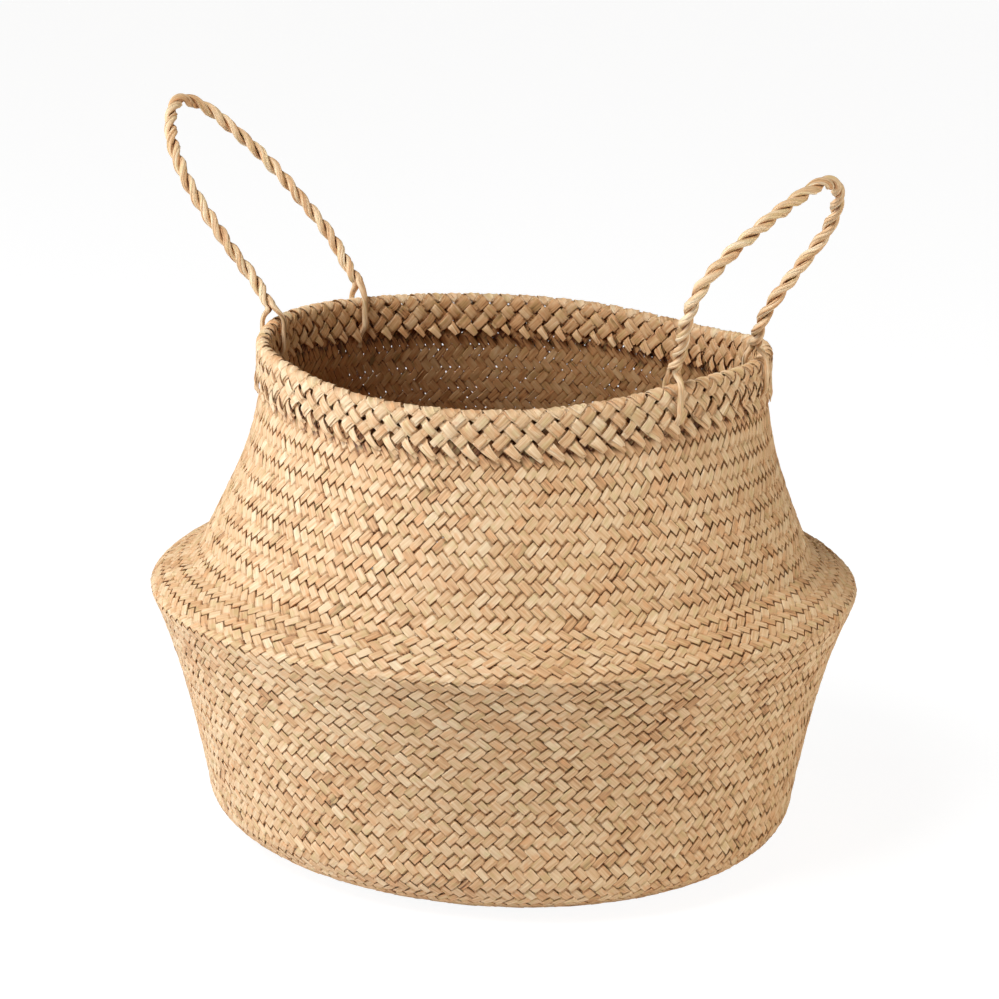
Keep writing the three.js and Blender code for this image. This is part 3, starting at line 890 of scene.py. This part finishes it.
def new_group(name, inputs, outputs):
    """Empty shader node group with named float inputs and named outputs. Gives the group, the
    sockets that bring its inputs, by name, and the sockets that take its outputs."""
    group = bpy.data.node_groups.new(name, "ShaderNodeTree")
    for label, default in inputs.items():
        socket = group.interface.new_socket(label, in_out="INPUT", socket_type="NodeSocketFloat")
        socket.default_value = default
    for label, kind in outputs.items():
        group.interface.new_socket(label, in_out="OUTPUT", socket_type=kind)
    return group, group.nodes.new("NodeGroupInput").outputs, group.nodes.new("NodeGroupOutput").inputs


def feed(tree, value, socket):
    """Gives an input socket its value: a number, a colour, or a link from an output socket."""
    if isinstance(value, (int, float, tuple)):
        socket.default_value = value
    else:
        tree.links.new(value, socket)


def maths(tree, operation, *operands):
    """Math node in one line. Each operand is a number or a socket."""
    node = tree.nodes.new("ShaderNodeMath")
    node.operation = operation
    for value, socket in zip(operands, node.inputs):
        feed(tree, value, socket)
    return node.outputs[0]


def swung(tree, value, middle, gain):
    """(value - middle) times gain."""
    return maths(tree, "MULTIPLY", maths(tree, "SUBTRACT", value, middle), gain)


def limited(tree, value, highest):
    """value kept between 0 and highest."""
    return maths(tree, "MINIMUM", maths(tree, "MAXIMUM", value, 0.0), highest)


def mixed_colour(tree, factor, first, second, blend="MIX"):
    """Colour mix in one line: the factor goes into input 0 and the colours into 6 and 7."""
    node = tree.nodes.new("ShaderNodeMix")
    node.data_type = "RGBA"
    node.blend_type = blend
    for value, number in ((factor, 0), (first, 6), (second, 7)):
        feed(tree, value, node.inputs[number])
    return node.outputs[2]


print("straw on a screen and as a node takes it:", np.round(srgb(230, 196, 154)[:3], 2))

# %% [markdown]
# # Fibres and stains
# Fibres are noise that is stretched along the strip, in a wide and a fine width. The same noise in wider
# patches gives stains. The edge of a split strip is torn and darker, but only where it is stained.
# Because it colours the strips' sides, this darker edge is also painted shade in the slits and seams
# between strips. The fibres stand up a little, most of all in the middle of the strip.

# %% Group of the fibres
COARSE_SHARE = 0.7
CROWN_POWER, CROWN_SHARE = 3.0, 0.35
EDGE_POWER = 24.0


def stretched_noise(tree, across, along, across_scale, along_scale, detail):
    """Noise in (across, along), stretched along the strip by giving it few cycles there."""
    place = tree.nodes.new("ShaderNodeCombineXYZ")
    feed(tree, maths(tree, "MULTIPLY", across, across_scale), place.inputs["X"])
    feed(tree, maths(tree, "MULTIPLY", along, along_scale), place.inputs["Y"])
    noise = tree.nodes.new("ShaderNodeTexNoise")
    for value, label in ((place.outputs[0], "Vector"), (1.0, "Scale"), (detail, "Detail"),
                         (0.55, "Roughness")):
        feed(tree, value, noise.inputs[label])
    return noise.outputs[0]


fibres, given, made = new_group(
    "sedge_fibres", {"Across": 0.0, "Along": 0.0, "Fibres across": 5.0},
    dict.fromkeys(("Streaks", "Stains", "Relief", "Edge"), "NodeSocketFloat"))
across, along = given["Across"], given["Along"]
fibre_place = maths(fibres, "MULTIPLY", across, given["Fibres across"])
coarse = stretched_noise(fibres, fibre_place, along, 0.42, 0.06, 1.0)
fine = stretched_noise(fibres, fibre_place, along, 1.1, 0.09, 2.0)
stains = stretched_noise(fibres, across, along, 0.4, 0.11, 1.0)
coarse_share = maths(fibres, "MULTIPLY", coarse, COARSE_SHARE)
fine_share = maths(fibres, "MULTIPLY", fine, 1 - COARSE_SHARE)
off_middle = maths(fibres, "ABSOLUTE", across)
crown = maths(fibres, "SUBTRACT", 1.0, maths(fibres, "POWER", off_middle, CROWN_POWER))
# Edge mask: torn edges, and painted shade at the strips' sides
torn_and_shaded_edge = maths(fibres, "POWER", off_middle, EDGE_POWER)
stained = limited(fibres, swung(fibres, stains, 0.35, 3.3), 1.0)
for label, value in {
    "Streaks": maths(fibres, "ADD", coarse_share, fine_share),
    "Stains": stains,
    "Relief": maths(fibres, "ADD", fine, maths(fibres, "MULTIPLY", crown, CROWN_SHARE)),
    "Edge": maths(fibres, "MULTIPLY", torn_and_shaded_edge, stained),
}.items():
    feed(fibres, value, made[label])
print(fibres.name, "has", len(fibres.nodes), "nodes")

# %% [markdown]
# # Tones of sedge
# The second group turns a strip's tint into a colour. A ramp from dark brown to cream gives the
# tone, streaks and stains move it up and down, and the strongest stains turn it orange or
# green, as stems that were cut riper or greener are.

# %% Group of the tones
SEDGE_TONES = (
    (0.00, (104, 62, 34)),
    (0.07, (150, 104, 66)),
    (0.14, (184, 137, 94)),
    (0.30, (210, 163, 116)),
    (0.46, (222, 183, 138)),
    (0.62, (230, 196, 154)),
    (0.80, (237, 209, 169)),
    (1.00, (245, 223, 189)),
)
ROUGHEST, STREAK_SHINE = 0.78, 0.35
# The last colour is that of torn edges, and is also painted shade in the slits and seams
RUDDY, GREENISH, TORN_AND_SHADED_EDGE = srgb(224, 160, 104), srgb(208, 190, 134), srgb(92, 54, 30)

tones, given, made = new_group(
    "sedge_tones", {"Tint": 0.5, "Streaks": 0.5, "Stains": 0.5, "Edge": 0.0,
                    "Streak depth": 0.5, "Stain depth": 0.5, "Edge depth": 0.5},
    {"Color": "NodeSocketColor", "Roughness": "NodeSocketFloat"})
by_streak = swung(tones, given["Streaks"], 0.5, given["Streak depth"])
by_stain = swung(tones, given["Stains"], 0.5, given["Stain depth"])
ramp = tones.nodes.new("ShaderNodeValToRGB")
while len(ramp.color_ramp.elements) < len(SEDGE_TONES):
    ramp.color_ramp.elements.new(0.5)
for element, (position, colour) in zip(ramp.color_ramp.elements, SEDGE_TONES):
    element.position = position
    element.color = srgb(*colour)
tint = maths(tones, "ADD", maths(tones, "ADD", given["Tint"], by_streak), by_stain)
feed(tones, tint, ramp.inputs[0])
ruddy = limited(tones, swung(tones, given["Stains"], 0.58, 5.0), 0.4)
green = limited(tones, swung(tones, given["Stains"], 0.44, -4.0), 0.35)
# Darker edges: torn edges, and painted shade in the slits between strips
torn_and_shaded = maths(tones, "MULTIPLY", given["Edge"], given["Edge depth"])
colour = mixed_colour(tones, ruddy, ramp.outputs[0], RUDDY)
colour = mixed_colour(tones, green, colour, GREENISH)
feed(tones, mixed_colour(tones, torn_and_shaded, colour, TORN_AND_SHADED_EDGE), made["Color"])
shine = maths(tones, "MULTIPLY", given["Streaks"], STREAK_SHINE)
feed(tones, maths(tones, "SUBTRACT", ROUGHEST, shine), made["Roughness"])
print(tones.name, "has", len(tones.nodes), "nodes")

# %% [markdown]
# # Materials
# Every material uses both groups with its own values, and a Principled shader of its own. The inner
# sides of the cloth and the collar have finishes of their own, a shade deeper: this is painted shade,
# because light reaches them only after it has passed through or bounced off more sedge. The mat under
# the basket has a little painted shade too.

# %% Six finishes
FIBRE_HEIGHT, SPECULAR_LEVEL = 0.0003, 0.45


def sedge_material(name, fibres_across, streaks, stains, edges, relief, shade=(1.0, 1.0, 1.0)):
    """Principled material whose colour, roughness and bump come from the two groups, read from the
    strip's own across, along and tint values. shade multiplies the colour, as painted shade for sides
    that lie in the dark."""
    material = bpy.data.materials.new(name)
    material.use_nodes = True
    tree = material.node_tree
    principled = tree.nodes["Principled BSDF"]
    grain = tree.nodes.new("ShaderNodeGroup")
    grain.node_tree = fibres
    grain.inputs["Fibres across"].default_value = fibres_across
    colour = tree.nodes.new("ShaderNodeGroup")
    colour.node_tree = tones
    for label, depth in (("Streak depth", streaks), ("Stain depth", stains), ("Edge depth", edges)):
        colour.inputs[label].default_value = depth
    for key, taker in (("across", grain), ("along", grain), ("tint", colour)):
        reader = tree.nodes.new("ShaderNodeAttribute")
        reader.attribute_name = key
        tree.links.new(reader.outputs["Fac"], taker.inputs[key.capitalize()])
    for label in ("Streaks", "Stains", "Edge"):
        tree.links.new(grain.outputs[label], colour.inputs[label])
    bump = tree.nodes.new("ShaderNodeBump")
    for value, label in ((relief, "Strength"), (FIBRE_HEIGHT, "Distance"),
                         (grain.outputs["Relief"], "Height")):
        feed(tree, value, bump.inputs[label])
    shaded = mixed_colour(tree, 1.0, colour.outputs["Color"], (*shade, 1.0), "MULTIPLY")
    for value, label in ((shaded, "Base Color"), (colour.outputs["Roughness"], "Roughness"),
                         (bump.outputs[0], "Normal"), (SPECULAR_LEVEL, "Specular IOR Level")):
        feed(tree, value, principled.inputs[label])
    return material


# Fibres across, streaks, stains, edges and relief, and a painted shade for what lies in the dark
FINISHES = {
    "wall_sedge": (4.0, 1.25, 0.3, 0.5, 0.5),
    "mat_sedge": (4.0, 1.25, 0.4, 0.6, 0.5, (0.9, 0.89, 0.87)),
    "inside_sedge": (4.0, 1.7, 1.0, 0.9, 0.5, (0.75, 0.63, 0.49)),
    "collar_sedge": (4.0, 1.5, 0.3, 0.8, 0.5),
    "collar_inside_sedge": (4.0, 1.9, 0.8, 1.0, 0.5, (0.9, 0.78, 0.65)),
    "rope_sedge": (2.0, 1.6, 0.3, 0.6, 0.4),
}
PIECE_FINISHES = {
    "mat": ("mat_sedge", "inside_sedge"),
    "heel": ("wall_sedge", "inside_sedge"),
    "flank": ("wall_sedge", "inside_sedge"),
    "neck": ("wall_sedge", "inside_sedge"),
    "collar": ("collar_sedge", "collar_inside_sedge"),
    "left": ("rope_sedge",),
    "right": ("rope_sedge",),
}
finish = {name: sedge_material(name, *values) for name, values in FINISHES.items()}
for name, piece in {**cloth, **ropes}.items():
    outside_first = PIECE_FINISHES[name.split("_")[0]]
    for finish_name in outside_first:
        piece.data.materials.append(finish[finish_name])
    print(name, "is finished in", *outside_first)

# %% [markdown]
# # Floor
# The basket stands on a pale studio floor that curves up behind it, so that no horizon shows.
# A plain plane would do for the shadow alone. The camera sees the paper mostly as an even
# white glow, but its light on the basket is that of matt paper.

# %% Studio floor
PAPER_GREY, PAPER_GLOW, GLOW_SHARE, PAPER_ROUGHNESS = 0.88, 1.16, 0.8, 0.9
FLOOR_REACH, FLOOR_HALF_WIDTH, FLOOR_BEND, FLOOR_TOP = 3.0, 4.8, 1.5, 4.0

# Side view: level from the front, a quarter circle behind the basket, and upright to the top
turn_up = np.linspace(0, math.pi / 2, 24)
bend = np.stack([FLOOR_REACH + FLOOR_BEND * np.sin(turn_up), FLOOR_BEND * (1 - np.cos(turn_up))], axis=1)
side_view = np.vstack([[(-FLOOR_REACH, 0)], bend, [(FLOOR_REACH + FLOOR_BEND, FLOOR_TOP)]])
edges = [np.insert(side_view, 0, x, axis=1) for x in (-FLOOR_HALF_WIDTH, FLOOR_HALF_WIDTH)]
left = np.arange(len(side_view) - 1)
right = left + len(side_view)
faces = np.stack([left, right, right + 1, left + 1], axis=1)
mesh = bpy.data.meshes.new("studio_floor")
mesh.from_pydata(np.vstack(edges).tolist(), [], faces.tolist())
mesh.polygons.foreach_set("use_smooth", np.ones(len(faces), bool))
floor = placed("studio_floor", mesh)

paper = bpy.data.materials.new("studio_paper")
paper.use_nodes = True
tree = paper.node_tree
matt = tree.nodes["Principled BSDF"]
for value, label in (((PAPER_GREY, PAPER_GREY, PAPER_GREY, 1), "Base Color"),
                     (PAPER_ROUGHNESS, "Roughness"), (0, "Specular IOR Level")):
    feed(tree, value, matt.inputs[label])
glow = tree.nodes.new("ShaderNodeEmission")
glow.inputs["Strength"].default_value = PAPER_GLOW
seen = tree.nodes.new("ShaderNodeLightPath").outputs["Is Camera Ray"]
both = tree.nodes.new("ShaderNodeMixShader")
for number, value in enumerate((maths(tree, "MULTIPLY", seen, GLOW_SHARE), matt.outputs[0],
                                glow.outputs[0])):
    feed(tree, value, both.inputs[number])
feed(tree, both.outputs[0], tree.nodes["Material Output"].inputs["Surface"])
floor.data.materials.append(paper)
print("floor with", len(floor.data.polygons), "faces")

# %% [markdown]
# # Camera
# The camera looks down a little from nearly two metres away, as a product photographer's does,
# and it is rolled by about a degree. Its place and its focal length were fitted to the outline
# in the photo: one pixel there is half a millimetre on the basket.

# %% Camera at the photo's angle
AZIMUTH, ELEVATION, ROLL = 33.0, 14.76, 1.18
CAMERA_DISTANCE = 1.8
CAMERA_TARGET = np.array([-0.0033, -0.0021, 0.1696])
FOCAL_PIXELS, IMAGE_PIXELS = 3677.4, 999


def standing(bearing, height, distance, target):
    """Place at a distance from a target. The bearing is counted from the front, anticlockwise
    seen from above, and the height is an angle above the level, both in degrees."""
    a, e = math.radians(bearing - 90), math.radians(height)
    away = (math.cos(a) * math.cos(e), math.sin(a) * math.cos(e), math.sin(e))
    return target + distance * np.array(away)


def looking(place, target, roll=0.0):
    """Matrix of a camera or a lamp, which looks along its own -Z: its Z axis points from the
    target to its place, its Y axis points up, and roll turns it about Z, in degrees."""
    upright = Vector(place - target).to_track_quat("Z", "Y").to_matrix().to_4x4()
    return Matrix.Translation(place) @ upright @ Matrix.Rotation(math.radians(roll), 4, "Z")


camera_data = bpy.data.cameras.new("camera")
camera_data.sensor_width = 36.0
camera_data.lens = FOCAL_PIXELS / IMAGE_PIXELS * camera_data.sensor_width
camera = placed("camera", camera_data)
camera_place = standing(AZIMUTH, ELEVATION, CAMERA_DISTANCE, CAMERA_TARGET)
camera.matrix_world = looking(camera_place, CAMERA_TARGET, ROLL)
bpy.context.scene.camera = camera
print("camera at", np.round(camera_place, 3))

# %% [markdown]
# # Light
# Three large soft lamps do what a studio's light boxes do. The main one is in front on the
# left, and a lower one on each side lights the flank under the fold. Little light comes from
# above, so the inside stays dark. The left lamp is a little blue and the right one a little
# warm, which gives the tones of the photo's two sides.

# %% Lamps and the white background
LAMPS_LOOK_AT = np.array([0, 0, 0.15])
WORLD_STRENGTH, WORLD_TONE, WHITE = 0.08, srgb(255, 232, 205), srgb(255, 255, 255)


def soft_lamp(name, bearing, height, distance, size, power, colour):
    """Square area lamp that looks at the basket. bearing is counted from the camera's side,
    anticlockwise seen from above, so a negative one is on the camera's left."""
    data = bpy.data.lights.new(name, "AREA")
    data.size = size
    data.energy = power
    data.color = colour
    lamp = placed(name, data)
    lamp.visible_camera = False
    place = standing(AZIMUTH + bearing, height, distance, LAMPS_LOOK_AT)
    lamp.matrix_world = looking(place, LAMPS_LOOK_AT)
    print(f"{name}: {power} watts from {distance} m")


soft_lamp("key_lamp", -41, 50, 2.2, 0.9, 45.5, (0.97, 1.0, 1.04))
soft_lamp("left_lamp", -92, 4, 2.0, 0.9, 24, (0.9, 1.0, 1.12))
soft_lamp("right_lamp", 75, 0, 2.0, 0.85, 24, (1.0, 0.93, 0.8))
world = bpy.data.worlds.new("studio")
bpy.context.scene.world = world
world.use_nodes = True
tree = world.node_tree
background = tree.nodes["Background"]
seen = tree.nodes.new("ShaderNodeLightPath").outputs["Is Camera Ray"]
feed(tree, mixed_colour(tree, seen, WORLD_TONE, WHITE), background.inputs["Color"])
whiter = maths(tree, "MULTIPLY", seen, 1 - WORLD_STRENGTH)
feed(tree, maths(tree, "ADD", WORLD_STRENGTH, whiter), background.inputs["Strength"])
bpy.context.scene.view_settings.view_transform = "Standard"
